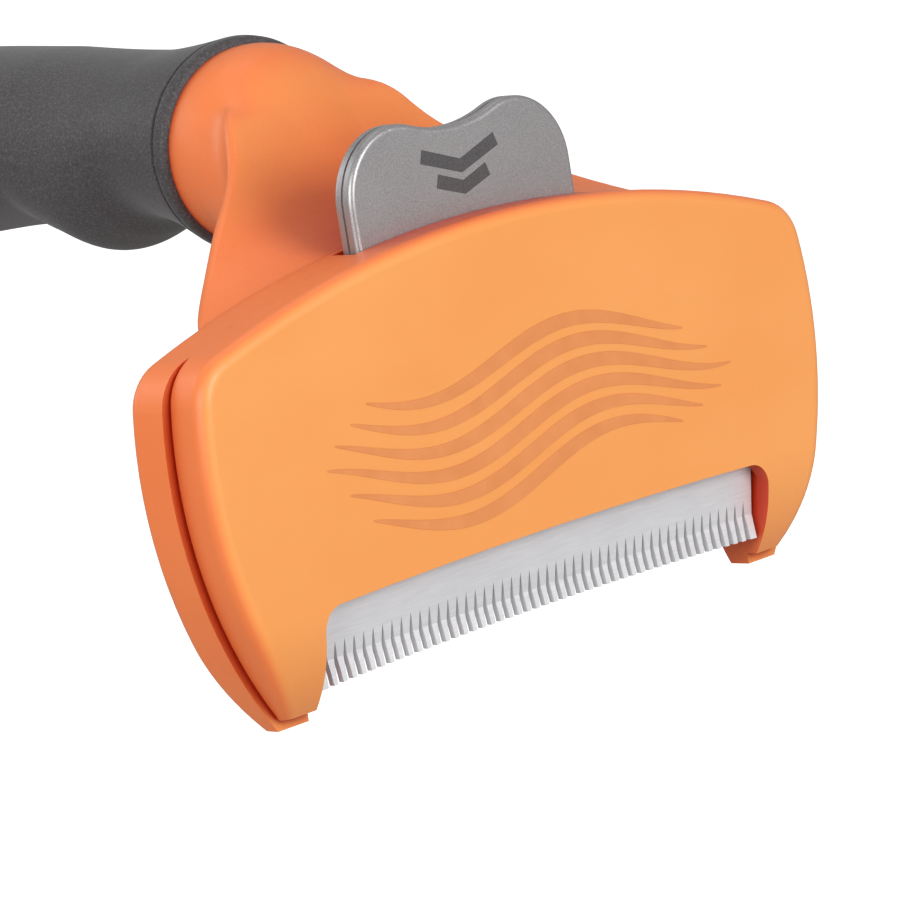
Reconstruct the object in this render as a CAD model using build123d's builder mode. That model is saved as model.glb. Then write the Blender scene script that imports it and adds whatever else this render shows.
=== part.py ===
from build123d import *

import os
from math import asin, cos, degrees, pi, sin, sqrt

# Deshedding tool for pets: a comb blade in a wide two-shell head, a thumb button that pushes an
# ejector plate down behind the teeth, and a rubber grip on a neck that leaves the head's back.
# Millimetres. The origin is the middle of the cutting edge. X runs along the blade, +Y goes from
# the flat front face to the grip, and +Z goes from the teeth to the thumb button.

# ---------------------------------------------------------------- blade
TOOTH_COUNT = 49
TOOTH_PITCH = 1.373
BLADE_WIDTH = TOOTH_COUNT * TOOTH_PITCH     # 67.3, the nominal cutting width of this size
BLADE_THICKNESS = 0.7
BLADE_TOP_Z = 16.0
EDGE_RADIUS = 850.0                         # the row of tips is a very shallow hollow arc
SLOT_DEPTH = 4.4
SLOT_MID_HALF_WIDTH = 0.27                  # at mid depth; the slot closes to a point above
SLOT_HALF_WIDTH = 0.385                     # just below the tips
CRANK_Y, CRANK_Z = 0.2, 2.1                 # the teeth turn forward below this line
LEAN_TOP_Z = 8.8                            # the blade is upright above this height
BLADE_FRONT_Y = -1.0                        # front surface of the upright part

# ---------------------------------------------------------------- head shells
FACE_Y = -2.8                               # flat front face
SEAM_Y = 2.2                                # where the two shells meet
BACK_Y = 7.7
WALL = 1.8
HEAD_HALF_WIDTH = 46.2
WIDEST_Z = 23.7
SIDE_RADIUS = 48.0
APEX_Z = 42.6
TOP_RADIUS = 132.0
TOP_CENTRE_Z = APEX_Z - TOP_RADIUS
CORNER_RADIUS = 5.5
NOTCH_HALF_WIDTH = 34.1
NOTCH_RADIUS = 2.6
LEG_TIP_RADIUS = 2.4
CAVITY_Z = 10.0                             # the legs are solid below this height

LEG_Z = -2.6                                # ends of the front shell's two legs
FRONT_NOTCH_Z = 8.6
FRONT_EDGE_RADIUS = 1.5
FRONT_ROLL_Z, FRONT_ROLL_RADIUS = 8.0, 17.5     # the legs' front curves back below this height
REVEAL_WIDTH, REVEAL_DEPTH = 0.35, 0.5      # shadow groove along the seam

RIM_PROUD = 0.9                             # rear shell beyond the front shell at the sides
REAR_LEG_Z = -3.8
REAR_LEG_CORNER_RADIUS = 4.0
REAR_NOTCH_Z = 4.6
REAR_EDGE_RADIUS = 1.6
REAR_ROLL_Z, REAR_ROLL_RADIUS = 7.0, 22.0
GUIDE_RIB_Y, GUIDE_RIB_TOP_Z = 2.9, 12.0    # thick wall that guides the ejector's back

# ---------------------------------------------------------------- button and ejector
BUTTON_HALF_WIDTH = 16.5
BUTTON_FRONT_Y, BUTTON_BACK_Y = 2.4, 5.1
BUTTON_LOBE_X, BUTTON_LOBE_Z = 8.8, 45.8    # centres of the two round lobes
BUTTON_LOBE_RADIUS = BUTTON_HALF_WIDTH - BUTTON_LOBE_X
BUTTON_SADDLE_Z = 52.0
BUTTON_EDGE_RADIUS = 0.6
GROOVE_Y, GROOVE_WIDTH, GROOVE_DEPTH = 3.9, 0.3, 0.3
FOOT_HALF_WIDTH = 20.0                      # shoulders that keep the button in the head
FOOT_TOP_Z, FOOT_BOTTOM_Z = 38.6, 28.0
BUTTON_SLOT_HALF_LENGTH = 17.4
BUTTON_SLOT_BACK_Y = 5.6
BUTTON_SCREWS = [(-10.0, 33.0), (10.0, 33.0)]

EJECTOR_FRONT_Y = 1.25
EJECTOR_HALF_WIDTH = 33.3
EJECTOR_EDGE_Z = 3.1                        # lower edge at rest, level with the upper teeth
EJECTOR_BAR_TOP_Z = 15.0
EJECTOR_WEB_HALF_WIDTH = 28.6
EJECTOR_TOP_Z = 37.5
LUG_BOTTOM_Z, LUG_THICKNESS = 30.0, 1.6
LUG_BACK_Y = 5.6
LUG_HALF_WIDTH = 2.6
WINDOW_X, WINDOW_Z = 12.0, 22.0             # the two windows in the ejector's web
WINDOW_SIZE = (13.0, 7.0)

# ---------------------------------------------------------------- return springs
SPRING_X, SPRING_Y = 25.0, 4.2
SPRING_RADIUS, SPRING_WIRE_RADIUS, SPRING_TURNS = 1.4, 0.2, 8
LEDGE_TOP_Z, LEDGE_THICKNESS, LEDGE_HALF_WIDTH = 16.0, 2.4, 3.2
POST_RADIUS, POST_TOP_Z, POST_HOLE_RADIUS = 0.75, 34.0, 1.1

# ---------------------------------------------------------------- neck, tang and grip
COLLAR_Y = 34.0
CORE_Z = 52.2                               # axis height of the grip's core
CORE_SIZE = (9.5, 7.0)                      # half width and half height, as for the bore
BORE_SIZE = (7.0, 4.7)
TANG_END_Y = 72.0
GRIP_END_Y = 148.0
RIM_BEVEL = 1.1
CAP_LENGTH, CAP_PLUG_LENGTH, CAP_EDGE_RADIUS = 8.0, 9.0, 5.0
CAP_PLUG_SIZE = (6.8, 4.5)

# The flare: a thumb scoop that rises from the head's upper back edge, cut to a fan in plan.
FLARE_FRONT_Y, FLARE_BACK_Y = 6.0, 31.5
SCOOP_START_ANGLE, SCOOP_TURN = 15.0, 43.0      # degrees above level, and the rise from there
SCOOP_RADIUS, SCOOP_RUN = 24.0, 1.5
CREST_RADIUS = 6.0                              # the scoop rolls over to level at its top
FLARE_UNDER_FRONT_Z, FLARE_UNDER_BACK_Z = 36.0, 52.0
FLARE_UNDER_MIDDLE = (17.5, 40.0)
FLARE_SWEEP = 18.0                              # degrees of the head's top arch, each side
FLARE_EDGE = [(36.2, 6.0), (33.0, 10.0), (27.8, 14.0), (20.8, 18.7), (14.5, 22.6), (11.4, 25.6), (6.0, 31.0)]
FLARE_EDGE_DIRECTIONS = ((-0.4, 1), (-1, 1))    # of the edge at its front and back ends
FLARE_EDGE_RADIUS = 0.8
# The neck's stem, under and behind the flare: y, half width, half height, middle height.
STEM_STATIONS = [
    (6.5, 17.0, 11.5, 28.5),
    (13.0, 15.5, 10.0, 33.5),
    (19.0, 14.0, 9.2, 39.8),
    (24.0, 13.2, 10.6, 46.2),
    (29.0, 12.7, 11.2, 50.2),
    (COLLAR_Y, 12.5, 11.0, 51.2),
]

# Grip stations: y, lowest z, highest z, half width.
GRIP_STATIONS = [
    (COLLAR_Y, 38.9, 63.5, 13.6),
    (40.0, 42.2, 62.8, 13.0),
    (46.0, 43.7, 62.4, 12.5),
    (50.5, 41.8, 62.6, 12.8),
    (55.5, 40.4, 63.0, 13.1),
    (60.0, 42.1, 63.4, 13.5),
    (64.5, 43.9, 63.8, 13.7),
    (84.0, 42.9, 64.8, 14.4),
    (103.0, 41.6, 64.4, 14.9),
    (124.0, 42.9, 62.8, 13.8),
    (138.0, 43.2, 61.6, 13.0),
    (GRIP_END_Y, 41.6, 61.6, 13.6),
]

# ---------------------------------------------------------------- screws
SCREW_RADIUS = 1.1
SCREW_CLEARANCE_RADIUS = 1.3
SCREW_HEAD_RADIUS, SCREW_HEAD_HEIGHT = 2.1, 1.4
HEAD_BORE_RADIUS = 2.3
BOSS_RADIUS = 3.3
RECESS_LENGTH, RECESS_WIDTH, RECESS_DEPTH = 2.4, 0.5, 0.8
COVER_SCREWS = [(-40.0, 27.0), (40.0, 27.0), (-38.9, 8.0), (38.9, 8.0)]
COVER_SCREW_HEAD_Y = 7.2                    # rear ends of the sunk heads
COVER_SCREW_TIP_Y = -1.4
BLADE_SCREWS = [(x, 13.0) for x in (-27.0, -9.0, 9.0, 27.0)]
BLADE_SCREW_TIP_Y = -2.2
BLADE_SCREW_HEAD_HEIGHT = 0.8
BUTTON_SCREW_TIP_Y = 1.6
HANDLE_SCREW_YS = (44.0, 64.0, 130.0)
HANDLE_SCREW_BOTTOM_Z, HANDLE_SCREW_TIP_Z = 46.0, 58.2
CLAMP_HALF_WIDTH, CLAMP_BOTTOM_Z, CLAMP_TOP_Z, CLAMP_BACK_Y = 31.5, 10.4, 15.6, 0.9

os.makedirs("parts", exist_ok=True)


def at_y(y):
    """The plane across the tool at this y: local x is X and local y is Z, and it faces the front."""
    return Plane.XZ.offset(-y)


def save(piece, name):
    """Label a finished piece and write its STEP file."""
    piece.part.label = name
    export_step(piece.part, f"parts/{name}.step")


def arch_drop(x, radius):
    """How far an arc of this radius has fallen at x from its middle."""
    return radius - sqrt(radius * radius - x * x)


def notch_outline(half_width, top_z):
    """The space between the legs, with its shallow arched top."""
    with BuildSketch() as notch:
        with Locations((0, top_z - EDGE_RADIUS)):
            Circle(EDGE_RADIUS)
        with Locations((0, top_z)):
            Rectangle(2 * half_width, 40, mode=Mode.INTERSECT)
    return notch.sketch


def bowed_outline(half_width, inset, bottom_z):
    """The head's arched top and bowed sides, drawn in by an inset, down to a straight bottom."""
    with BuildSketch() as outline:
        with Locations((0, TOP_CENTRE_Z)):
            Circle(TOP_RADIUS - inset)
        for side in (-1, 1):
            with Locations((side * (half_width - SIDE_RADIUS), WIDEST_Z)):
                Circle(SIDE_RADIUS - inset, mode=Mode.INTERSECT)
        with Locations((0, bottom_z)):
            Rectangle(4 * half_width, 100, align=(Align.CENTER, Align.MIN), mode=Mode.INTERSECT)
        fillet(outline.vertices().group_by(Axis.Y)[-1], CORNER_RADIUS - inset)
    return outline.sketch


def head_outline(half_width, leg_z, notch_z, leg_corner_radius=0):
    """One shell's outline: the bowed outline with the blade notch between its two legs."""
    with BuildSketch() as outline:
        add(bowed_outline(half_width, 0, leg_z))
        add(notch_outline(NOTCH_HALF_WIDTH, notch_z), mode=Mode.SUBTRACT)
        legs, notch_corners = outline.vertices().group_by(Axis.Y)[:2]
        legs = legs.sort_by(Axis.X)
        fillet(notch_corners, NOTCH_RADIUS)
        fillet([legs[1], legs[2]], LEG_TIP_RADIUS)
        if leg_corner_radius:
            fillet([legs[0], legs[3]], leg_corner_radius)
    return outline.sketch


def cavity_outline():
    """The hollow inside both shells, with the throat that the blade and the ejector leave by."""
    with BuildSketch() as cavity:
        add(bowed_outline(HEAD_HALF_WIDTH, WALL, CAVITY_Z))
        with Locations((0, CAVITY_Z)):
            Rectangle(2 * NOTCH_HALF_WIDTH, 2 * (CAVITY_Z - REAR_LEG_Z + 1))
    return cavity.sketch


def leg_roll(y, z, radius, side):
    """The region cut off where a leg's surface curves away from y; side -1 is front, 1 is back."""
    angle = degrees(asin((z - REAR_LEG_Z + 1) / radius))
    with BuildSketch() as region:
        with BuildLine():
            arc = JernArc((y, z), (0, -1), radius, -side * angle)
            Polyline(arc @ 1, (y + side, (arc @ 1).Y), (y + side, z), arc @ 0)
        make_face()
    return region.sketch


# ================================================================ front shell
with BuildPart() as front_cover:
    with BuildSketch(at_y(SEAM_Y)):
        add(head_outline(HEAD_HALF_WIDTH, LEG_Z, FRONT_NOTCH_Z))
    extrude(amount=SEAM_Y - FACE_Y)
    with BuildSketch(Plane.YZ):
        add(leg_roll(FACE_Y, FRONT_ROLL_Z, FRONT_ROLL_RADIUS, -1))
    extrude(amount=HEAD_HALF_WIDTH + 5, both=True, mode=Mode.SUBTRACT)
    # Round the outer edge of the front, from leg end to leg end over the top.
    front_faces = faces().sort_by(Axis.Y)[0:1] + faces().filter_by(
        lambda f: f.geom_type == GeomType.CYLINDER and abs(f.radius - FRONT_ROLL_RADIUS) < 0.01)
    front_edges = [e for f in front_faces for e in f.edges() if abs(e.center().Z - FRONT_ROLL_Z) > 0.01]
    fillet([e for e in front_edges if (e @ 0.5).Z > FRONT_NOTCH_Z + 0.5 or abs((e @ 0.5).X) > 37.6],
           FRONT_EDGE_RADIUS)
    # Shadow groove beside the seam, at the sides only.
    with BuildSketch(at_y(SEAM_Y)):
        Rectangle(3 * HEAD_HALF_WIDTH, 3 * HEAD_HALF_WIDTH)
        add(head_outline(HEAD_HALF_WIDTH - REVEAL_DEPTH, LEG_Z, FRONT_NOTCH_Z), mode=Mode.SUBTRACT)
    extrude(amount=REVEAL_WIDTH, mode=Mode.SUBTRACT)
    # Hollow behind the front wall, with bosses for the upper cover screws.
    with BuildSketch(at_y(SEAM_Y)):
        add(cavity_outline())
        with Locations(*COVER_SCREWS[:2]):
            Circle(BOSS_RADIUS, mode=Mode.SUBTRACT)
    extrude(amount=SEAM_Y - BLADE_FRONT_Y, mode=Mode.SUBTRACT)
    with BuildSketch(at_y(SEAM_Y)):
        with Locations(*COVER_SCREWS):
            Circle(SCREW_RADIUS)
    extrude(amount=SEAM_Y - COVER_SCREW_TIP_Y, mode=Mode.SUBTRACT)
    with BuildSketch(at_y(BLADE_FRONT_Y)):
        with Locations(*BLADE_SCREWS):
            Circle(SCREW_RADIUS)
    extrude(amount=BLADE_FRONT_Y - BLADE_SCREW_TIP_Y, mode=Mode.SUBTRACT)

# ================================================================ neck
with BuildPart() as stem:
    for y, half_width, half_height, z in STEM_STATIONS:
        with BuildSketch(at_y(y)):
            with Locations((0, z)):
                Ellipse(half_width, half_height)
    loft()

with BuildPart() as flare:
    # The right half: the scoop's side profile swung about the centre of the head's top arch.
    with BuildSketch(Plane.YZ):
        with BuildLine():
            start_angle = SCOOP_START_ANGLE * pi / 180
            crease = (BACK_Y, APEX_Z)
            scoop = JernArc(crease, (cos(start_angle), sin(start_angle)), SCOOP_RADIUS, SCOOP_TURN)
            run = Line(scoop @ 1, scoop @ 1 + (scoop % 1) * SCOOP_RUN)
            crest = JernArc(run @ 1, run % 1, CREST_RADIUS, -SCOOP_START_ANGLE - SCOOP_TURN)
            Polyline(crest @ 1, (FLARE_BACK_Y, (crest @ 1).Y), (FLARE_BACK_Y, FLARE_UNDER_BACK_Z))
            ThreePointArc((FLARE_BACK_Y, FLARE_UNDER_BACK_Z), FLARE_UNDER_MIDDLE,
                          (FLARE_FRONT_Y, FLARE_UNDER_FRONT_Z))
            Polyline((FLARE_FRONT_Y, FLARE_UNDER_FRONT_Z), (FLARE_FRONT_Y, APEX_Z - 0.5), crease)
        make_face()
    revolve(axis=Axis((0, 0, TOP_CENTRE_Z), (0, 1, 0)), revolution_arc=FLARE_SWEEP)
    with BuildSketch(Plane.XY):
        with BuildLine():
            edge = Spline(*FLARE_EDGE, tangents=FLARE_EDGE_DIRECTIONS)
            Polyline(edge @ 1, (0, FLARE_EDGE[-1][1]), (0, FLARE_FRONT_Y), edge @ 0)
        make_face()
    extrude(amount=2 * APEX_Z, mode=Mode.INTERSECT)
    mirror(about=Plane.YZ)
    ridges = [e for e in edges() if abs(e.center().X) > 5 and e.center().Z > APEX_Z - 1
              and e.bounding_box().size.Y > 0.5 and e.bounding_box().size.X > 0.5]
    fillet(ridges, FLARE_EDGE_RADIUS)

# ================================================================ rear shell, neck and tang
with BuildPart() as rear_shell:
    with BuildSketch(at_y(BACK_Y)):
        add(head_outline(HEAD_HALF_WIDTH + RIM_PROUD, REAR_LEG_Z, REAR_NOTCH_Z, REAR_LEG_CORNER_RADIUS))
    extrude(amount=BACK_Y - SEAM_Y)
    with BuildSketch(Plane.YZ):
        add(leg_roll(BACK_Y, REAR_ROLL_Z, REAR_ROLL_RADIUS, 1))
    extrude(amount=HEAD_HALF_WIDTH + 5, both=True, mode=Mode.SUBTRACT)
    back_faces = faces().sort_by(Axis.Y)[-1:] + faces().filter_by(
        lambda f: f.geom_type == GeomType.CYLINDER and abs(f.radius - REAR_ROLL_RADIUS) < 0.01)
    back_edges = [e for f in back_faces for e in f.edges() if abs(e.center().Z - REAR_ROLL_Z) > 0.01]
    fillet([e for e in back_edges if (e @ 0.5).Z > REAR_NOTCH_Z + 1 or abs((e @ 0.5).X) > 36.8],
           REAR_EDGE_RADIUS)
    # Hollow in front of the back wall; the bosses, the ejector's guide rib and the ledges stay.
    with BuildSketch(at_y(BACK_Y - WALL)):
        add(cavity_outline())
        with Locations(*COVER_SCREWS[:2]):
            Circle(BOSS_RADIUS, mode=Mode.SUBTRACT)
    extrude(amount=BACK_Y - WALL - SEAM_Y, mode=Mode.SUBTRACT)
    with BuildSketch(at_y(BACK_Y - WALL)):
        with Locations((0, (GUIDE_RIB_TOP_Z + REAR_NOTCH_Z) / 2)):
            Rectangle(2 * NOTCH_HALF_WIDTH, GUIDE_RIB_TOP_Z - REAR_NOTCH_Z)
        with Locations(*[(x, LEDGE_TOP_Z - LEDGE_THICKNESS / 2) for x in (-SPRING_X, SPRING_X)]):
            Rectangle(2 * LEDGE_HALF_WIDTH, LEDGE_THICKNESS)
    extrude(amount=BACK_Y - WALL - GUIDE_RIB_Y)
    with BuildSketch(Plane.XY.offset(LEDGE_TOP_Z)):
        with Locations((-SPRING_X, SPRING_Y), (SPRING_X, SPRING_Y)):
            Circle(POST_RADIUS)
    extrude(amount=-LEDGE_THICKNESS, mode=Mode.SUBTRACT)
    add(stem.part)
    add(flare.part)
    with BuildSketch(at_y(TANG_END_Y)):
        with Locations((0, CORE_Z)):
            Ellipse(*BORE_SIZE)
    extrude(amount=TANG_END_Y - COLLAR_Y + 1)
    # Slot for the button, screw holes in the head, and screw holes through the tang.
    with BuildSketch(at_y(BUTTON_SLOT_BACK_Y)):
        with Locations((0, APEX_Z)):
            Rectangle(2 * BUTTON_SLOT_HALF_LENGTH, 10)
    extrude(amount=BUTTON_SLOT_BACK_Y - SEAM_Y + 0.01, mode=Mode.SUBTRACT)
    with BuildSketch(at_y(BACK_Y + 1)):
        with Locations(*COVER_SCREWS):
            Circle(SCREW_CLEARANCE_RADIUS)
    extrude(amount=BACK_Y + 1 - SEAM_Y, mode=Mode.SUBTRACT)
    with BuildSketch(at_y(BACK_Y + 1)):
        with Locations(*COVER_SCREWS):
            Circle(HEAD_BORE_RADIUS)
    extrude(amount=BACK_Y + 1 - (COVER_SCREW_HEAD_Y - SCREW_HEAD_HEIGHT), mode=Mode.SUBTRACT)
    with BuildSketch(Plane.XY.offset(CORE_Z)):
        with Locations(*[(0, y) for y in HANDLE_SCREW_YS if y < TANG_END_Y]):
            Circle(SCREW_CLEARANCE_RADIUS)
    extrude(amount=BORE_SIZE[1] + 1, both=True, mode=Mode.SUBTRACT)

# ================================================================ thumb button
# The saddle arc between the two lobes is tangent to both of them.
saddle_rise = BUTTON_SADDLE_Z - BUTTON_LOBE_Z
saddle_radius = (BUTTON_LOBE_X ** 2 + saddle_rise ** 2 - BUTTON_LOBE_RADIUS ** 2) / (
    2 * (BUTTON_LOBE_RADIUS - saddle_rise))
saddle_share = BUTTON_LOBE_RADIUS / (BUTTON_LOBE_RADIUS + saddle_radius)
tangent_x = BUTTON_LOBE_X * (1 - saddle_share)
tangent_z = BUTTON_LOBE_Z + (saddle_rise + saddle_radius) * saddle_share


def button_outline(inset):
    """The button's plate: straight sides, two round lobes and the saddle between them."""
    with BuildSketch() as outline:
        with Locations((0, BUTTON_LOBE_Z)):
            Rectangle(2 * (BUTTON_HALF_WIDTH - inset), BUTTON_LOBE_Z - FOOT_TOP_Z + 1,
                      align=(Align.CENTER, Align.MAX))
        with Locations((-BUTTON_LOBE_X, BUTTON_LOBE_Z), (BUTTON_LOBE_X, BUTTON_LOBE_Z)):
            Circle(BUTTON_LOBE_RADIUS - inset)
        with BuildLine():
            left = (-tangent_x, tangent_z)
            right = (tangent_x, tangent_z)
            saddle = ThreePointArc(left, (0, BUTTON_SADDLE_Z), right)
            Polyline(right, (BUTTON_LOBE_X, BUTTON_LOBE_Z), (-BUTTON_LOBE_X, BUTTON_LOBE_Z), left)
        face = make_face(mode=Mode.PRIVATE)
        add(face.moved(Location((0, -inset))))
    return outline.sketch


with BuildPart() as eject_button:
    with BuildSketch(at_y(BUTTON_BACK_Y)):
        add(button_outline(0))
    extrude(amount=BUTTON_BACK_Y - BUTTON_FRONT_Y)
    rim_edges = faces().sort_by(Axis.Y)[0].edges() + faces().sort_by(Axis.Y)[-1].edges()
    fillet([e for e in rim_edges if e.center().Z > FOOT_TOP_Z], BUTTON_EDGE_RADIUS)
    with BuildSketch(at_y(GROOVE_Y)):
        with Locations((0, APEX_Z)):
            Rectangle(60, 60)
        add(button_outline(GROOVE_DEPTH), mode=Mode.SUBTRACT)
    extrude(amount=GROOVE_WIDTH, mode=Mode.SUBTRACT)
    with BuildSketch(at_y(BUTTON_BACK_Y)):
        with Locations((0, FOOT_BOTTOM_Z)):
            Rectangle(2 * FOOT_HALF_WIDTH, FOOT_TOP_Z - FOOT_BOTTOM_Z, align=(Align.CENTER, Align.MIN))
    extrude(amount=BUTTON_BACK_Y - BUTTON_FRONT_Y)
    with BuildSketch(at_y(BUTTON_BACK_Y)):
        with Locations(*BUTTON_SCREWS):
            Circle(SCREW_RADIUS)
    extrude(amount=BUTTON_BACK_Y - BUTTON_FRONT_Y, mode=Mode.SUBTRACT)
    with BuildSketch(at_y(BUTTON_BACK_Y)):
        with Locations(*BUTTON_SCREWS):
            Circle(HEAD_BORE_RADIUS)
    extrude(amount=SCREW_HEAD_HEIGHT, mode=Mode.SUBTRACT)

# ================================================================ ejector plate
with BuildPart() as ejector_plate:
    with BuildSketch(at_y(BUTTON_FRONT_Y)):
        with Locations((0, EJECTOR_EDGE_Z - 1)):
            Rectangle(2 * EJECTOR_HALF_WIDTH, EJECTOR_BAR_TOP_Z - EJECTOR_EDGE_Z + 1,
                      align=(Align.CENTER, Align.MIN))
        with Locations((0, EJECTOR_BAR_TOP_Z)):
            Rectangle(2 * EJECTOR_WEB_HALF_WIDTH, LUG_BOTTOM_Z + LUG_THICKNESS - EJECTOR_BAR_TOP_Z,
                      align=(Align.CENTER, Align.MIN))
            Rectangle(2 * FOOT_HALF_WIDTH - 4, EJECTOR_TOP_Z - EJECTOR_BAR_TOP_Z,
                      align=(Align.CENTER, Align.MIN))
        with Locations((0, EJECTOR_EDGE_Z - EDGE_RADIUS)):
            Circle(EDGE_RADIUS, mode=Mode.SUBTRACT)
        with Locations((-WINDOW_X, WINDOW_Z), (WINDOW_X, WINDOW_Z)):
            RectangleRounded(*WINDOW_SIZE, 1.5, mode=Mode.SUBTRACT)
        with Locations(*BUTTON_SCREWS):
            Circle(SCREW_RADIUS, mode=Mode.SUBTRACT)
    extrude(amount=BUTTON_FRONT_Y - EJECTOR_FRONT_Y)
    with BuildSketch(Plane.XY.offset(LUG_BOTTOM_Z)):
        for x in (-SPRING_X, SPRING_X):
            with Locations((x, BUTTON_FRONT_Y)):
                Rectangle(2 * LUG_HALF_WIDTH, LUG_BACK_Y - BUTTON_FRONT_Y, align=(Align.CENTER, Align.MIN))
            with Locations((x, SPRING_Y)):
                Circle(POST_HOLE_RADIUS, mode=Mode.SUBTRACT)
    extrude(amount=LUG_THICKNESS)

# ================================================================ blade and its clamp
with BuildSketch() as slot:
    with BuildLine():
        apex, foot_z = (0, SLOT_DEPTH), -1.0
        ThreePointArc(apex, (SLOT_MID_HALF_WIDTH, SLOT_DEPTH / 2), (SLOT_HALF_WIDTH, foot_z))
        Line((SLOT_HALF_WIDTH, foot_z), (-SLOT_HALF_WIDTH, foot_z))
        ThreePointArc((-SLOT_HALF_WIDTH, foot_z), (-SLOT_MID_HALF_WIDTH, SLOT_DEPTH / 2), apex)
    make_face()

slot_xs = [(i - (TOOTH_COUNT - 2) / 2) * TOOTH_PITCH for i in range(TOOTH_COUNT - 1)]

with BuildPart() as blade:
    with BuildSketch(at_y(BACK_Y)):
        with Locations((0, BLADE_TOP_Z)):
            Rectangle(BLADE_WIDTH, BLADE_TOP_Z + 2, align=(Align.CENTER, Align.MAX))
        with Locations((0, -EDGE_RADIUS)):
            Circle(EDGE_RADIUS, mode=Mode.SUBTRACT)
        with Locations(*[(x, -arch_drop(x, EDGE_RADIUS)) for x in slot_xs]):
            add(slot.sketch, mode=Mode.SUBTRACT)
        with Locations(*BLADE_SCREWS):
            Circle(SCREW_RADIUS, mode=Mode.SUBTRACT)
    extrude(amount=2 * BACK_Y)
    # The side profile: upright in the head, leaning back below it, then cranked forward.
    with BuildSketch(Plane.YZ):
        crank_slope = CRANK_Y / CRANK_Z
        front_line = [(-crank_slope, -1.0), (CRANK_Y, CRANK_Z), (BLADE_FRONT_Y, LEAN_TOP_Z),
                      (BLADE_FRONT_Y, BLADE_TOP_Z)]
        back_line = [(y + BLADE_THICKNESS, z) for y, z in reversed(front_line)]
        with BuildLine():
            Polyline(*front_line, *back_line, close=True)
        make_face()
    extrude(amount=BLADE_WIDTH, both=True, mode=Mode.INTERSECT)

blade_back_y = BLADE_FRONT_Y + BLADE_THICKNESS
with BuildPart() as blade_clamp:
    with BuildSketch(at_y(CLAMP_BACK_Y)):
        with Locations((0, CLAMP_BOTTOM_Z)):
            Rectangle(2 * CLAMP_HALF_WIDTH, CLAMP_TOP_Z - CLAMP_BOTTOM_Z, align=(Align.CENTER, Align.MIN))
        fillet(vertices(), 1.0)
    extrude(amount=CLAMP_BACK_Y - blade_back_y)
    with BuildSketch(at_y(CLAMP_BACK_Y)):
        with Locations(*BLADE_SCREWS):
            Circle(SCREW_RADIUS)
    extrude(amount=CLAMP_BACK_Y - blade_back_y, mode=Mode.SUBTRACT)
    with BuildSketch(at_y(CLAMP_BACK_Y)):
        with Locations(*BLADE_SCREWS):
            Circle(SCREW_HEAD_RADIUS)
    extrude(amount=BLADE_SCREW_HEAD_HEIGHT, mode=Mode.SUBTRACT)

# ================================================================ screws
def screws(spots, head_y, head_height, tip_y):
    """Pan-head screws along Y, their cross-recessed heads to the rear and their tips to the front."""
    with BuildPart() as group:
        with BuildSketch(at_y(head_y)):
            with Locations(*spots):
                Circle(SCREW_HEAD_RADIUS)
        extrude(amount=head_height)
        with BuildSketch(at_y(head_y)):
            with Locations(*spots):
                Circle(SCREW_RADIUS)
        extrude(amount=head_y - tip_y)
        with BuildSketch(at_y(head_y)):
            with Locations(*spots):
                Rectangle(RECESS_LENGTH, RECESS_WIDTH)
                Rectangle(RECESS_WIDTH, RECESS_LENGTH)
        extrude(amount=min(RECESS_DEPTH, head_height / 2), mode=Mode.SUBTRACT)
    return group


cover_screws = screws(COVER_SCREWS, COVER_SCREW_HEAD_Y, SCREW_HEAD_HEIGHT, COVER_SCREW_TIP_Y)
blade_screws = screws(BLADE_SCREWS, CLAMP_BACK_Y, BLADE_SCREW_HEAD_HEIGHT, BLADE_SCREW_TIP_Y)
button_screws = screws(BUTTON_SCREWS, BUTTON_BACK_Y, SCREW_HEAD_HEIGHT, BUTTON_SCREW_TIP_Y)

with BuildPart() as handle_screws:
    for y in HANDLE_SCREW_YS:
        with BuildSketch(Plane.XY.offset(HANDLE_SCREW_BOTTOM_Z)):
            with Locations((0, y)):
                Circle(SCREW_HEAD_RADIUS)
        extrude(amount=SCREW_HEAD_HEIGHT)
        with BuildSketch(Plane.XY.offset(HANDLE_SCREW_BOTTOM_Z)):
            with Locations((0, y)):
                Circle(SCREW_RADIUS)
        extrude(amount=HANDLE_SCREW_TIP_Z - HANDLE_SCREW_BOTTOM_Z)

# ================================================================ springs and posts
def spring(x):
    """A compression spring that stands on the ledge and reaches the ejector's lug."""
    height = LUG_BOTTOM_Z - LEDGE_TOP_Z - 2 * SPRING_WIRE_RADIUS - 0.1
    with BuildPart() as coil:
        with BuildLine(Plane((x, SPRING_Y, LEDGE_TOP_Z + SPRING_WIRE_RADIUS + 0.05))):
            wire = Helix(height / SPRING_TURNS, height, SPRING_RADIUS)
        with BuildSketch(Plane(wire @ 0, z_dir=wire % 0)):
            Circle(SPRING_WIRE_RADIUS)
        sweep(path=wire, is_frenet=True)
    return coil


def spring_post(x):
    """The pin that guides a spring, pressed into its ledge."""
    with BuildPart() as post:
        with BuildSketch(Plane.XY.offset(LEDGE_TOP_Z - LEDGE_THICKNESS)):
            with Locations((x, SPRING_Y)):
                Circle(POST_RADIUS)
        extrude(amount=POST_TOP_Z - LEDGE_TOP_Z + LEDGE_THICKNESS)
        chamfer(faces().sort_by(Axis.Z)[-1].edges(), 0.25)
    return post


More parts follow.
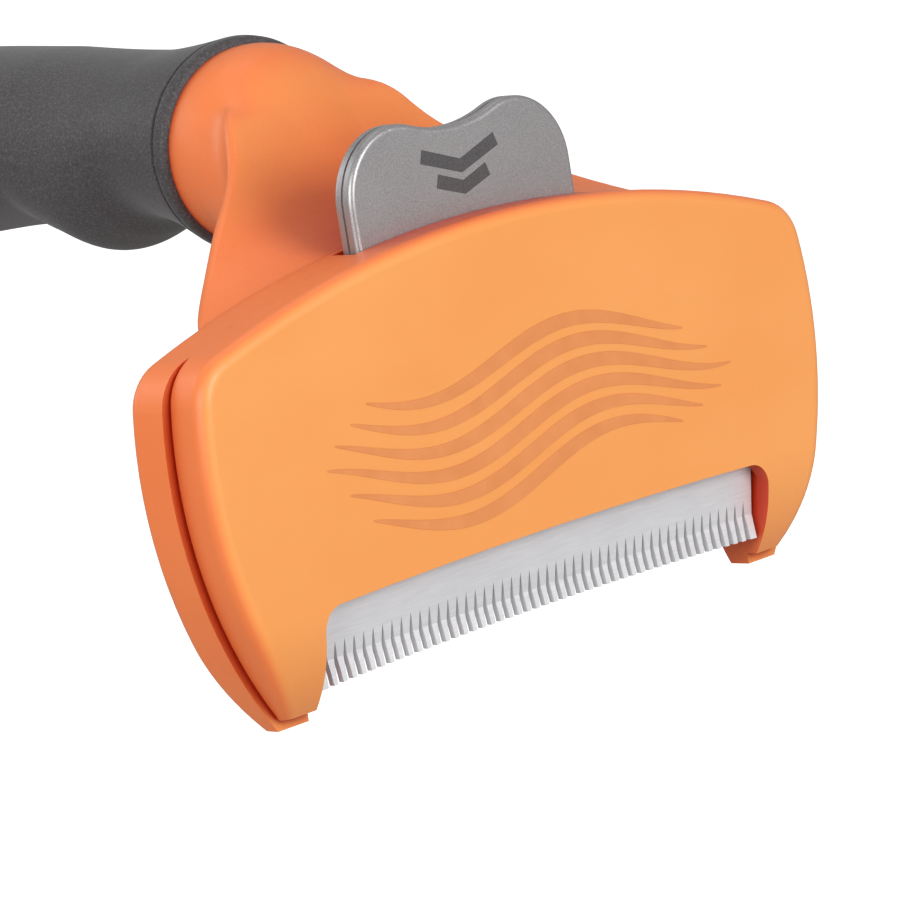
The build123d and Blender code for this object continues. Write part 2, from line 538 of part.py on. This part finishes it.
# ================================================================ grip
def core_half(keep, screw_z):
    """One half of the grip's rigid core, with its share of the rear boss and the screw holes."""
    with BuildPart() as half:
        with BuildSketch(at_y(GRIP_END_Y)):
            with Locations((0, CORE_Z)):
                Ellipse(*CORE_SIZE)
                Ellipse(*BORE_SIZE, mode=Mode.SUBTRACT)
        extrude(amount=GRIP_END_Y - COLLAR_Y)
        with BuildSketch(Plane.XY.offset(CORE_Z)):
            with Locations((0, HANDLE_SCREW_YS[-1])):
                Circle(BOSS_RADIUS)
        extrude(amount=BORE_SIZE[1] + 0.5, both=True)
        with BuildSketch(Plane.XY.offset(HANDLE_SCREW_BOTTOM_Z)):
            with Locations(*[(0, y) for y in HANDLE_SCREW_YS]):
                Circle(SCREW_RADIUS)
        extrude(amount=HANDLE_SCREW_TIP_Z - HANDLE_SCREW_BOTTOM_Z, mode=Mode.SUBTRACT)
        with BuildSketch(Plane.XY.offset(screw_z)):
            with Locations(*[(0, y) for y in HANDLE_SCREW_YS]):
                Circle(SCREW_HEAD_RADIUS)
        extrude(amount=-10, mode=Mode.SUBTRACT)
        split(bisect_by=Plane.XY.offset(CORE_Z), keep=keep)
    return half


head_seat_z = HANDLE_SCREW_BOTTOM_Z + SCREW_HEAD_HEIGHT
handle_core_upper = core_half(Keep.TOP, head_seat_z)
handle_core_lower = core_half(Keep.BOTTOM, head_seat_z)

with BuildPart() as grip_sleeve:
    for y, low_z, high_z, half_width in GRIP_STATIONS:
        with BuildSketch(at_y(y)):
            with Locations((0, (low_z + high_z) / 2)):
                Ellipse(half_width, (high_z - low_z) / 2)
    loft()
    chamfer(faces().sort_by(Axis.Y)[0].edges(), RIM_BEVEL)
    with BuildSketch(at_y(GRIP_END_Y)):
        with Locations((0, CORE_Z)):
            Ellipse(*CORE_SIZE)
    extrude(amount=GRIP_END_Y - COLLAR_Y, mode=Mode.SUBTRACT)

with BuildPart() as grip_end_cap:
    y, low_z, high_z, half_width = GRIP_STATIONS[-1]
    with BuildSketch(at_y(y + CAP_LENGTH)):
        with Locations((0, (low_z + high_z) / 2)):
            Ellipse(half_width, (high_z - low_z) / 2)
    extrude(amount=CAP_LENGTH)
    fillet(faces().sort_by(Axis.Y)[-1].edges(), CAP_EDGE_RADIUS)
    with BuildSketch(at_y(y)):
        with Locations((0, CORE_Z)):
            Ellipse(*CAP_PLUG_SIZE)
    extrude(amount=CAP_PLUG_LENGTH)

# ================================================================ write the pieces
pieces = {
    "front_cover": front_cover,
    "rear_shell": rear_shell,
    "eject_button": eject_button,
    "ejector_plate": ejector_plate,
    "button_screws": button_screws,
    "return_spring_left": spring(-SPRING_X),
    "return_spring_right": spring(SPRING_X),
    "spring_post_left": spring_post(-SPRING_X),
    "spring_post_right": spring_post(SPRING_X),
    "blade": blade,
    "blade_clamp": blade_clamp,
    "blade_screws": blade_screws,
    "cover_screws": cover_screws,
    "handle_core_upper": handle_core_upper,
    "handle_core_lower": handle_core_lower,
    "handle_screws": handle_screws,
    "grip_sleeve": grip_sleeve,
    "grip_end_cap": grip_end_cap,
}
for name, piece in pieces.items():
    save(piece, name)
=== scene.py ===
from math import cos, pi, radians, sin

import bmesh
import bpy
import numpy as np
from mathutils import Matrix, Vector
from mathutils.bvhtree import BVHTree


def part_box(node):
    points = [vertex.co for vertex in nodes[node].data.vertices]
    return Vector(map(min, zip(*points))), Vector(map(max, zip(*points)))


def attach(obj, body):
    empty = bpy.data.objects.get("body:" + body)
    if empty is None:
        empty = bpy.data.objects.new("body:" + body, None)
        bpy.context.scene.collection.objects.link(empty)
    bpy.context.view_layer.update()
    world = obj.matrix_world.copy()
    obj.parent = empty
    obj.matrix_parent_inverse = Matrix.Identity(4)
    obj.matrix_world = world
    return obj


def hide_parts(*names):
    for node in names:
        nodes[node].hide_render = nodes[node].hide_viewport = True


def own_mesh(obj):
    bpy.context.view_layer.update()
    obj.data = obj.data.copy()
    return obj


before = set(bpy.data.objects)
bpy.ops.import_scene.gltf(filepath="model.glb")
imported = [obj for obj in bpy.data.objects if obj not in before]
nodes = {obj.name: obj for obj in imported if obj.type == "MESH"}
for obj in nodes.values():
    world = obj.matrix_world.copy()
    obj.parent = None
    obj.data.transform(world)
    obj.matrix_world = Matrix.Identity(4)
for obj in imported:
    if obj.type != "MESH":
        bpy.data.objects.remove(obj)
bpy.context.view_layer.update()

# Looks of a deshedding tool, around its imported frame. Metres, in the frame's own axes: X runs along
# the blade, -Y is the flat front, +Y leads to the grip and +Z leads to the thumb button.

MM = 0.001
# The edge angle from which a mesh piece looks sharp.
SHARP_ANGLE = radians(40.0)

front_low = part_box("front_cover")[0]
button_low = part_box("eject_button")[0]
sleeve_low, sleeve_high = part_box("grip_sleeve")
core_low, core_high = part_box("handle_core_upper")

# A print's back lies just under the surface that it is on.
PRINT_SUNK = 0.002 * MM
PRINT_THICKNESS = 0.022 * MM

# The grip's sections: y, lowest z, highest z and half width, in millimetres.
STATIONS_MM = [
    (34.0, 38.9, 63.5, 13.6),
    (40.0, 42.2, 62.8, 13.0),
    (46.0, 43.7, 62.4, 12.5),
    (50.5, 41.8, 62.6, 12.8),
    (55.5, 40.4, 63.0, 13.1),
    (60.0, 42.1, 63.4, 13.5),
    (64.5, 43.9, 63.8, 13.7),
    (84.0, 42.9, 64.8, 14.4),
    (103.0, 41.6, 64.4, 14.9),
    (124.0, 42.9, 62.8, 13.8),
    (138.0, 43.2, 61.6, 13.0),
    (148.0, 41.6, 61.6, 13.6),
]


# ---------------------------------------------------------------- camera, light and floor
CAMERA_PLACE = (-0.3631, -0.3718, 0.0984)
CAMERA_RIGHT = (0.6993, -0.6970, -0.1586)
CAMERA_UP = (0.2201, -0.0011, 0.9755)
LENS_MM, SENSOR_MM = 198.8, 36.0
CLIP_NEAR, CLIP_FAR = 0.01, 20.0

WORLD_STRENGTH = 0.40
LAMP_TARGET = (0.0, 0.01, 0.03)
# Each lamp's place, width and power in watts.
LAMPS = {
    "key": ((0.12, -0.85, 0.30), 0.45, 4.6),
    "left_fill": ((-0.66, -0.22, 0.26), 0.40, 2.8),
    "top": ((0.15, 0.20, 0.80), 0.40, 0.4),
    "back": ((-0.30, 0.80, 0.45), 0.50, 1.3),
}
FLOOR_REACH = 4.0
FLOOR_DROP = 0.14
FLOOR_GLOW = 0.8


def make_camera():
    """The camera stands off the left front corner, a little above, rolled as a hand-held shot is."""
    data = bpy.data.cameras.new("camera")
    data.lens = LENS_MM
    data.sensor_width = SENSOR_MM
    data.clip_start = CLIP_NEAR
    data.clip_end = CLIP_FAR
    camera = bpy.data.objects.new("camera", data)
    bpy.context.scene.collection.objects.link(camera)
    right, up = Vector(CAMERA_RIGHT), Vector(CAMERA_UP)
    turn = Matrix((right, up, right.cross(up))).transposed()
    camera.matrix_world = Matrix.Translation(CAMERA_PLACE) @ turn.to_4x4()
    bpy.context.scene.camera = camera
    bpy.context.scene.view_settings.view_transform = "Standard"


def area_light(name, place, size, watts):
    """A soft white square lamp that faces the middle of the head."""
    data = bpy.data.lights.new(name, "AREA")
    data.size = size
    data.energy = watts
    lamp = bpy.data.objects.new(name, data)
    bpy.context.scene.collection.objects.link(lamp)
    lamp.location = place
    lamp.rotation_euler = (Vector(LAMP_TARGET) - Vector(place)).to_track_quat("-Z", "Y").to_euler()


def make_studio():
    """White surroundings, four soft lamps and a pale floor well below the tool."""
    world = bpy.data.worlds.new("studio")
    world.use_nodes = True
    background = world.node_tree.nodes["Background"]
    background.inputs["Color"].default_value = (1.0, 1.0, 1.0, 1.0)
    background.inputs["Strength"].default_value = WORLD_STRENGTH
    bpy.context.scene.world = world
    for name, (place, size, watts) in LAMPS.items():
        area_light(name, place, size, watts)
    floor_mesh = bpy.data.meshes.new("floor")
    corners = [(x * FLOOR_REACH, y * FLOOR_REACH, -FLOOR_DROP)
               for x, y in ((-1, -1), (1, -1), (1, 1), (-1, 1))]
    floor_mesh.from_pydata(corners, [], [(0, 1, 2, 3)])
    floor = bpy.data.objects.new("floor", floor_mesh)
    bpy.context.scene.collection.objects.link(floor)
    floor.visible_diffuse = False
    floor.visible_glossy = False
    paint = bpy.data.materials.new("floor_white")
    paint.use_nodes = True
    shader = paint.node_tree.nodes["Principled BSDF"]
    shader.inputs["Base Color"].default_value = (0.95, 0.95, 0.95, 1.0)
    shader.inputs["Roughness"].default_value = 0.9
    shader.inputs["Specular IOR Level"].default_value = 0.1
    shader.inputs["Emission Color"].default_value = (1.0, 1.0, 1.0, 1.0)
    shader.inputs["Emission Strength"].default_value = FLOOR_GLOW
    floor_mesh.materials.append(paint)


# ---------------------------------------------------------------- materials
def srgb(red, green, blue):
    """A linear colour from three numbers out of 255."""
    def linear(value):
        value /= 255.0
        return value / 12.92 if value <= 0.04045 else ((value + 0.055) / 1.055) ** 2.4
    return (linear(red), linear(green), linear(blue), 1.0)


class Paint:
    """A Principled material, with helpers that add its colour, roughness and bump detail."""

    def __init__(self, name, **settings):
        self.material = bpy.data.materials.new(name)
        self.material.use_nodes = True
        self.tree = self.material.node_tree
        self.shader = self.tree.nodes["Principled BSDF"]
        for socket, value in settings.items():
            self.shader.inputs[socket.replace("_", " ")].default_value = value
        self.place = self.tree.nodes.new("ShaderNodeTexCoord").outputs["Object"]
        self.normal = None

    def link(self, source, target):
        """Join an output socket to an input socket."""
        self.tree.links.new(source, target)

    def noise(self, scale, detail=2.0, roughness=0.5, density=(1.0, 1.0, 1.0)):
        """Noise with features of about 1/scale metres, longer along an axis whose density is below 1."""
        mapping = self.tree.nodes.new("ShaderNodeMapping")
        mapping.inputs["Scale"].default_value = density
        self.link(self.place, mapping.inputs["Vector"])
        node = self.tree.nodes.new("ShaderNodeTexNoise")
        node.inputs["Scale"].default_value = scale
        node.inputs["Detail"].default_value = detail
        node.inputs["Roughness"].default_value = roughness
        self.link(mapping.outputs["Vector"], node.inputs["Vector"])
        return node.outputs["Fac"]

    def ramp(self, source, stops):
        """A colour ramp of (position, colour) stops."""
        node = self.tree.nodes.new("ShaderNodeValToRGB")
        elements = node.color_ramp.elements
        while len(elements) < len(stops):
            elements.new(0.5)
        for element, (position, colour) in zip(elements, stops):
            element.position = position
            element.color = colour
        self.link(source, node.inputs["Fac"])
        return node.outputs["Color"]

    def blend(self, factor, first, second, mode="MIX"):
        """Two colours mixed by a factor; each may be a socket, a colour or a number."""
        node = self.tree.nodes.new("ShaderNodeMix")
        node.data_type = "RGBA"
        node.blend_type = mode
        factor_in, first_in, second_in = (node.inputs[i] for i in (0, 6, 7))
        for socket, value in ((factor_in, factor), (first_in, first), (second_in, second)):
            if isinstance(value, (tuple, float)):
                socket.default_value = value
            else:
                self.link(value, socket)
        colour_out = node.outputs[2]
        return colour_out

    def spread(self, source, start, stop, low=0.0, high=1.0):
        """A number that goes from low to high while the source goes from start to stop."""
        node = self.tree.nodes.new("ShaderNodeMapRange")
        node.inputs["From Min"].default_value = start
        node.inputs["From Max"].default_value = stop
        node.inputs["To Min"].default_value = low
        node.inputs["To Max"].default_value = high
        self.link(source, node.inputs["Value"])
        return node.outputs["Result"]

    def colour(self, source):
        """Give the shader its base colour."""
        self.link(source, self.shader.inputs["Base Color"])

    def rough(self, source, low, high):
        """Vary the roughness from low to high over the noise's middle range."""
        self.link(self.spread(source, 0.3, 0.7, low, high), self.shader.inputs["Roughness"])

    def bump(self, source, height, strength=1.0):
        """Relief of that height in metres, added to any relief already there."""
        node = self.tree.nodes.new("ShaderNodeBump")
        node.inputs["Distance"].default_value = height
        node.inputs["Strength"].default_value = strength
        self.link(source, node.inputs["Height"])
        if self.normal is not None:
            self.link(self.normal, node.inputs["Normal"])
        self.normal = node.outputs["Normal"]
        self.link(self.normal, self.shader.inputs["Normal"])


def moulded_orange():
    """Satin ABS in warm orange, with painted shade: a deep red orange in its recesses and a redder, darker
    orange away from the plain front; micro texture, mottling and faint flow lines.
    """
    paint = Paint("moulded_orange", Specular_IOR_Level=0.42, IOR=1.5, Subsurface_Weight=0.08,
                  Subsurface_Radius=(0.0012, 0.0005, 0.0002), Subsurface_Scale=1.0)
    mottle = paint.noise(38.0, 3.0)
    flow = paint.noise(60.0, 2.0, density=(0.35, 1.0, 1.6))
    base = paint.ramp(mottle, [(0.35, srgb(246, 159, 84)), (0.65, srgb(249, 165, 91))])
    base = paint.blend(0.10, base, paint.ramp(flow, [(0.4, srgb(241, 150, 74)), (0.6, srgb(252, 170, 96))]))
    # Painted shade, by the surface's facing in object space: the plain front keeps the palest colour, while
    # sides, top, back and neck get a redder, darker orange for the lesser light they catch.
    facing = paint.tree.nodes.new("ShaderNodeSeparateXYZ")
    coordinates = paint.tree.nodes.new("ShaderNodeTexCoord")
    paint.link(coordinates.outputs["Normal"], facing.inputs["Vector"])
    front = paint.spread(facing.outputs["Y"], -0.55, -0.98)
    side_shade_tint = (1.0, 0.64, 0.66, 1.0)
    side_shaded = paint.blend(1.0, base, side_shade_tint, "MULTIPLY")
    base = paint.blend(front, side_shaded, base)
    # Painted shade: recesses, found by ambient occlusion, turn to a deep red orange.
    black, white = (0.0, 0.0, 0.0, 1.0), (1.0, 1.0, 1.0, 1.0)
    occlusion_shade = paint.tree.nodes.new("ShaderNodeAmbientOcclusion")
    occlusion_shade.samples = 8
    occlusion_shade.inputs["Distance"].default_value = 30.0 * MM
    unshaded_share = paint.ramp(occlusion_shade.outputs["AO"], [(0.52, black), (0.99, white)])
    paint.colour(paint.blend(unshaded_share, srgb(196, 46, 13), base))
    grain = paint.noise(5200.0, 2.0)
    paint.rough(paint.noise(900.0, 3.0), 0.34, 0.44)
    paint.bump(grain, 0.000012, 0.35)
    paint.bump(mottle, 0.00008, 0.25)
    return paint.material


def tonal_ink():
    """The tone-on-tone print on the front: a darker orange with a soft matt surface."""
    paint = Paint("tonal_ink", Specular_IOR_Level=0.35)
    cloud = paint.noise(300.0, 3.0)
    paint.colour(paint.ramp(cloud, [(0.35, srgb(226, 140, 80)), (0.65, srgb(232, 147, 87))]))
    paint.rough(paint.noise(2600.0), 0.48, 0.60)
    paint.bump(paint.noise(6000.0), 0.000008, 0.3)
    return paint.material


def satin_button():
    """Grey metal-flake lacquer with fine sparkle."""
    paint = Paint("satin_button", Metallic=0.72, Specular_IOR_Level=0.5, Coat_Weight=0.15, Coat_Roughness=0.3)
    flake = paint.noise(8000.0, 1.0, 0.6)
    cloud = paint.noise(70.0, 2.0)
    base = paint.ramp(flake, [(0.36, srgb(156, 154, 155)), (0.52, srgb(172, 169, 170)),
                              (0.66, srgb(190, 187, 188))])
    paint.colour(paint.blend(0.2, base, paint.ramp(cloud, [(0.4, srgb(162, 159, 160)),
                                                           (0.6, srgb(180, 177, 178))])))
    paint.rough(flake, 0.34, 0.46)
    paint.bump(flake, 0.00001, 0.3)
    return paint.material


def dark_mark():
    """The darker grey marks printed on the button."""
    paint = Paint("dark_mark", Metallic=0.3)
    flake = paint.noise(5200.0, 1.0)
    paint.colour(paint.ramp(flake, [(0.35, srgb(80, 78, 79)), (0.65, srgb(94, 92, 93))]))
    paint.rough(flake, 0.45, 0.58)
    return paint.material


def ground_steel(name, light, dark, roughness, lines_along_x=True, metallic=1.0):
    """Rolled stainless steel with faint stains and fine grinding lines, along X or else along Z."""
    paint = Paint(name, Metallic=metallic)
    density = (0.03, 1.0, 1.0) if lines_along_x else (1.0, 1.0, 0.03)
    lines = paint.noise(9000.0, 3.0, 0.6, density)
    stain = paint.noise(110.0, 4.0)
    base = paint.ramp(lines, [(0.3, dark), (0.7, light)])
    paint.colour(paint.blend(0.25, base, paint.ramp(stain, [(0.35, dark), (0.6, light)])))
    paint.rough(lines, roughness - 0.06, roughness + 0.08)
    paint.bump(lines, 0.000006, 0.35)
    return paint.material


def grip_rubber():
    """Matt charcoal rubber, with the fine speckle of its moulded texture and dust-pale wear."""
    paint = Paint("grip_rubber", Specular_IOR_Level=0.38, Sheen_Weight=0.12, Sheen_Roughness=0.5)
    speckle = paint.noise(3600.0, 2.0, 0.6)
    haze = paint.noise(55.0, 3.0)
    base = paint.ramp(speckle, [(0.34, srgb(58, 55, 57)), (0.52, srgb(72, 69, 71)),
                                (0.70, srgb(100, 97, 99))])
    paint.colour(paint.blend(0.3, base, paint.ramp(haze, [(0.35, srgb(50, 49, 51)),
                                                          (0.65, srgb(78, 77, 79))])))
    paint.rough(haze, 0.50, 0.66)
    paint.bump(speckle, 0.00003, 0.5)
    return paint.material


def dark_plastic(name, colour):
    """Plain moulded plastic with a fine, slightly paler grain."""
    paint = Paint(name, Specular_IOR_Level=0.4)
    grain = paint.noise(2600.0, 2.0)
    pale = tuple(part * 1.35 for part in colour[:3]) + (1.0,)
    paint.colour(paint.ramp(grain, [(0.3, colour), (0.75, pale)]))
    paint.rough(paint.noise(140.0, 3.0), 0.42, 0.58)
    paint.bump(grain, 0.00002, 0.4)
    return paint.material


def dress(material, *names):
    """Put one material on CAD nodes."""
    for name in names:
        node = nodes[name]
        node.data.materials.clear()
        node.data.materials.append(material)


# ---------------------------------------------------------------- mesh helpers
def mesh_piece(name, points, faces, material, body, smooth=True):
    """A new piece from points in metres, riding on a body."""
    mesh = bpy.data.meshes.new(name)
    mesh.from_pydata(points, [], faces)
    work = bmesh.new()
    work.from_mesh(mesh)
    bmesh.ops.recalc_face_normals(work, faces=work.faces)
    work.to_mesh(mesh)
    work.free()
    for polygon in mesh.polygons:
        polygon.use_smooth = smooth
    if smooth:
        mesh.set_sharp_from_angle(angle=SHARP_ANGLE)
    mesh.materials.append(material)
    piece = bpy.data.objects.new(name, mesh)
    bpy.context.scene.collection.objects.link(piece)
    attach(piece, body)
    return piece


def closed_rings(rings):
    """Points and faces of a tube through rings of equal count, whose last ring joins its first."""
    count = len(rings[0])
    points = [point for ring in rings for point in ring]
    faces = []
    for row in range(len(rings)):
        here, there = row * count, (row + 1) % len(rings) * count
        for i in range(count):
            j = (i + 1) % count
            faces.append((here + i, here + j, there + j, there + i))
    return points, faces


def ribbon(path, half_widths, surface_y):
    """A printed strip on a surface that faces -Y, along a path of (x, z) with a half width at each point."""
    back = surface_y + PRINT_SUNK
    points, faces = [], []
    for i, (x, z) in enumerate(path):
        before, after = path[max(i - 1, 0)], path[min(i + 1, len(path) - 1)]
        along = Vector((after[0] - before[0], after[1] - before[1])).normalized()
        side = Vector((-along.y, along.x)) * half_widths[i]
        for depth in (back, back - PRINT_THICKNESS):
            points.append((x + side.x, depth, z + side.y))
            points.append((x - side.x, depth, z - side.y))
    for i in range(len(path) - 1):
        a, b = 4 * i, 4 * i + 4
        faces += [(a, b, b + 1, a + 1), (a + 2, a + 3, b + 3, b + 2),
                  (a, a + 2, b + 2, b), (a + 1, b + 1, b + 3, a + 3)]
    last = 4 * (len(path) - 1)
    faces += [(0, 1, 3, 2), (last, last + 2, last + 3, last + 1)]
    return points, faces


def joined(parts):
    """One list of points and faces from several."""
    points, faces = [], []
    for part_points, part_faces in parts:
        shift = len(points)
        points += part_points
        faces += [tuple(index + shift for index in face) for face in part_faces]
    return points, faces


# ---------------------------------------------------------------- pieces
def front_print(material):
    """Tone-on-tone locks of combed hair on the front face: long waves, tapered at both ends."""
    strokes = []
    count, steps = 6, 72
    middle_z, spacing, closing_in = 21.0 * MM, 2.75 * MM, 0.15
    wave_height, wave_length, phase_step = 2.3 * MM, 44.0 * MM, 0.12
    thin, swell, fullness = 0.06 * MM, 0.74 * MM, 0.7
    # Each side's furthest reach, the row that has it, and how much each row further from it falls short.
    left_end, left_row, left_loss = -31.0 * MM, 2.2, 2.6 * MM
    right_end, right_row, right_loss = 31.5 * MM, 2.8, 3.4 * MM
    for row in range(count):
        lift = (row - (count - 1) / 2) * spacing
        start = left_end + left_loss * abs(row - left_row)
        stop = right_end - right_loss * abs(row - right_row)
        path, half_widths = [], []
        for step in range(steps + 1):
            share = step / steps
            x = start + (stop - start) * share
            wave = wave_height * sin(2 * pi * x / wave_length + phase_step * row)
            path.append((x, middle_z + lift * (1 - closing_in * share) + wave))
            half_widths.append(thin + swell * sin(pi * share) ** fullness)
        strokes.append(ribbon(path, half_widths, front_low[1]))
    points, faces = joined(strokes)
    mesh_piece("front_print", points, faces, material, "head", smooth=False)


def button_marks(material):
    """Two chevrons on the button that point the way it is pushed."""
    marks = []
    half_stroke, slope = 0.75 * MM, 0.34
    for half_width, tip_z in ((5.6 * MM, 47.6 * MM), (3.8 * MM, 45.3 * MM)):
        end_z = tip_z + half_width * slope
        path = [(-half_width, end_z), (0.0, tip_z), (half_width, end_z)]
        marks.append(ribbon(path, [half_stroke] * len(path), button_low[1]))
    points, faces = joined(marks)
    mesh_piece("button_marks", points, faces, material, "ejector", smooth=False)


def smooth_through(stations, y):
    """Values at y on smooth curves through stations of (y, value, value, ...)."""
    index = max(i for i in range(len(stations) - 1) if stations[i][0] <= y or i == 0)
    p1, p2 = stations[index], stations[index + 1]
    p0 = stations[max(index - 1, 0)]
    p3 = stations[min(index + 2, len(stations) - 1)]
    share = (y - p1[0]) / (p2[0] - p1[0])
    values = []
    for k in range(1, len(p1)):
        slope1 = (p2[k] - p0[k]) / (p2[0] - p0[0]) * (p2[0] - p1[0])
        slope2 = (p3[k] - p1[k]) / (p3[0] - p1[0]) * (p2[0] - p1[0])
        s2, s3 = share * share, share ** 3
        values.append((2 * s3 - 3 * s2 + 1) * p1[k] + (s3 - 2 * s2 + share) * slope1
                      + (3 * s2 - 2 * s3) * p2[k] + (s3 - s2) * slope2)
    return values


def rubber_sleeve(material):
    """The over-moulded grip: rounded rim at the collar, waist, finger guard, palm swell and part line."""
    start, end = sleeve_low[1], sleeve_high[1]
    segments, row_count = 144, 200
    flash_height = 0.10 * MM
    # The upper core's flat underside is on the bore's middle plane, and the core fills that half.
    bore_middle_z = core_low[2]
    bore_half_width = core_high[0]
    bore_half_height = core_high[2] - core_low[2]
    # Rings in from each end and how far they are drawn in, in millimetres: at the collar a rounded band
    # and a crease, at the far end a small rounding. Between them the rings are plain.
    rim = [(0.0, 0.75), (0.15, 0.45), (0.4, 0.22), (1.3, 0.0), (1.5, 0.06), (1.62, 0.30), (1.74, 0.30)]
    tail = [(0.2, 0.1), (0.0, 0.35)]
    plain_start, plain_end = start + 1.9 * MM, end - 0.5 * MM
    plain_step = (plain_end - plain_start) / row_count

    def ring(y, inset):
        low_z, high_z, half_width = (value * MM for value in smooth_through(STATIONS_MM, y / MM))
        middle, half_height = (low_z + high_z) / 2, (high_z - low_z) / 2
        points = []
        for i in range(segments):
            angle = 2 * pi * i / segments
            # The part line is a fine raised flash along both sides.
            out = (flash_height if i in (0, segments // 2) else 0.0) - inset
            points.append(((half_width + out) * cos(angle), y, middle + (half_height + out) * sin(angle)))
        return points

    def bore(y):
        return [(bore_half_width * cos(2 * pi * i / segments), y,
                 bore_middle_z + bore_half_height * sin(2 * pi * i / segments)) for i in range(segments)]

    rings = [ring(start + y * MM, inset * MM) for y, inset in rim]
    rings += [ring(plain_start + plain_step * i, 0.0) for i in range(row_count + 1)]
    rings += [ring(end - y * MM, inset * MM) for y, inset in tail]
    rings += [bore(end), bore(start)]
    points, faces = closed_rings(rings)
    piece = mesh_piece("rubber_sleeve", points, faces, material, "head")
    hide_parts("grip_sleeve")


def neck_skin(material):
    """The neck's outer skin from the scoop to the collar: it spans the creases in one soft surface."""
    shell = nodes["rear_shell"].data
    tree = BVHTree.FromPolygons([v.co for v in shell.vertices], [tuple(p.vertices) for p in shell.polygons])
    segments, row_count, rounds = 288, 64, 90
    start, end = 17.0 * MM, sleeve_low[1]
    proud, sunk, depth, reach = 0.03 * MM, 0.15 * MM, 0.8 * MM, 60.0 * MM
    # The neck's middle line falls from the collar to the head.
    collar_z = (STATIONS_MM[0][1] + STATIONS_MM[0][2]) / 2 * MM
    fall = 0.62
    # Shares of the skin's length: as the shell is at the head end, fading in and out of the smoothing,
    # and rising out of the shell where the skin starts.
    untouched, fade, rise = 0.12, 0.2, 0.1
    # The last ring's rays run this far short of the collar's flat face.
    nudge = 0.001 * MM
    ys = [start + (end - start) * i / row_count for i in range(row_count + 1)]
    angles = [2 * pi * i / segments for i in range(segments)]
    centres = [collar_z - fall * (end - y) for y in ys]
    radii = np.zeros((row_count + 1, segments))
    for row, (y, z) in enumerate(zip(ys, centres)):
        middle = Vector((0.0, y - (nudge if row == row_count else 0.0), z))
        for column, angle in enumerate(angles):
            out = Vector((cos(angle), 0.0, sin(angle)))
            hit = tree.ray_cast(middle + out * reach, -out, reach)[0]
            radii[row, column] = (hit - middle).length if hit else depth
    skin = radii.copy()
    share = np.linspace(0.0, 1.0, row_count + 1)[:, None]
    weight = np.clip((share - untouched) / fade, 0.0, 1.0) * np.clip((1.0 - share) / fade, 0.0, 1.0)
    # Each round moves the points towards their neighbours' mean, but never under the shell.
    for _ in range(rounds):
        around = (np.roll(skin, 1, 1) + np.roll(skin, -1, 1)) / 2
        along = skin.copy()
        along[1:-1] = (skin[2:] + skin[:-2]) / 2
        skin = radii + weight * (np.maximum(radii, (around + along) / 2) - radii)
    skin += proud - (proud + sunk) * np.clip(1.0 - share / rise, 0.0, 1.0)

    def ring(row, shift):
        points = []
        for column, angle in enumerate(angles):
            radius = float(skin[row, column] + shift)
            points.append((radius * cos(angle), ys[row], centres[row] + radius * sin(angle)))
        return points

    rings = [ring(row, 0.0) for row in range(row_count + 1)]
    rings += [ring(row, -depth) for row in range(row_count, -1, -1)]
    points, faces = closed_rings(rings)
    mesh_piece("neck_skin", points, faces, material, "head")


def working_springs(material):
    """The two return springs, as copies of the CAD springs that ride on the head in their place."""
    for name in ("return_spring_left", "return_spring_right"):
        mesh = nodes[name].data.copy()
        mesh.materials.clear()
        mesh.materials.append(material)
        coil = bpy.data.objects.new(name + "_coil", mesh)
        bpy.context.scene.collection.objects.link(coil)
        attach(coil, "head")
        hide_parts(name)
        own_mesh(coil)


# ---------------------------------------------------------------- build
make_camera()
make_studio()

orange = moulded_orange()
rubber = grip_rubber()
spring_steel = ground_steel("spring_steel", srgb(170, 170, 174), srgb(130, 130, 136), 0.30,
                            lines_along_x=False)
dress(orange, "front_cover", "rear_shell")
dress(satin_button(), "eject_button")
dress(ground_steel("blade_steel", srgb(240, 240, 242), srgb(224, 224, 227), 0.50, metallic=0.45), "blade")
# Painted shade in part: the ejector plate and clamp are a very dark steel, darkened to stand for the shade
# behind the blade's slots as well as the plate's own grey.
dress(ground_steel("plate_steel_and_shade", srgb(70, 70, 74), srgb(52, 52, 56), 0.48), "ejector_plate", "blade_clamp")
dress(ground_steel("screw_steel", srgb(120, 120, 124), srgb(84, 84, 88), 0.36, lines_along_x=False),
      "button_screws", "blade_screws", "cover_screws", "handle_screws")
dress(spring_steel, "return_spring_left", "return_spring_right", "spring_post_left", "spring_post_right")
dress(dark_plastic("core_plastic", srgb(44, 44, 47)), "handle_core_upper", "handle_core_lower")
dress(rubber, "grip_sleeve")
dress(dark_plastic("cap_plastic", srgb(52, 51, 53)), "grip_end_cap")

front_print(tonal_ink())
button_marks(dark_mark())
rubber_sleeve(rubber)
neck_skin(orange)
working_springs(spring_steel)
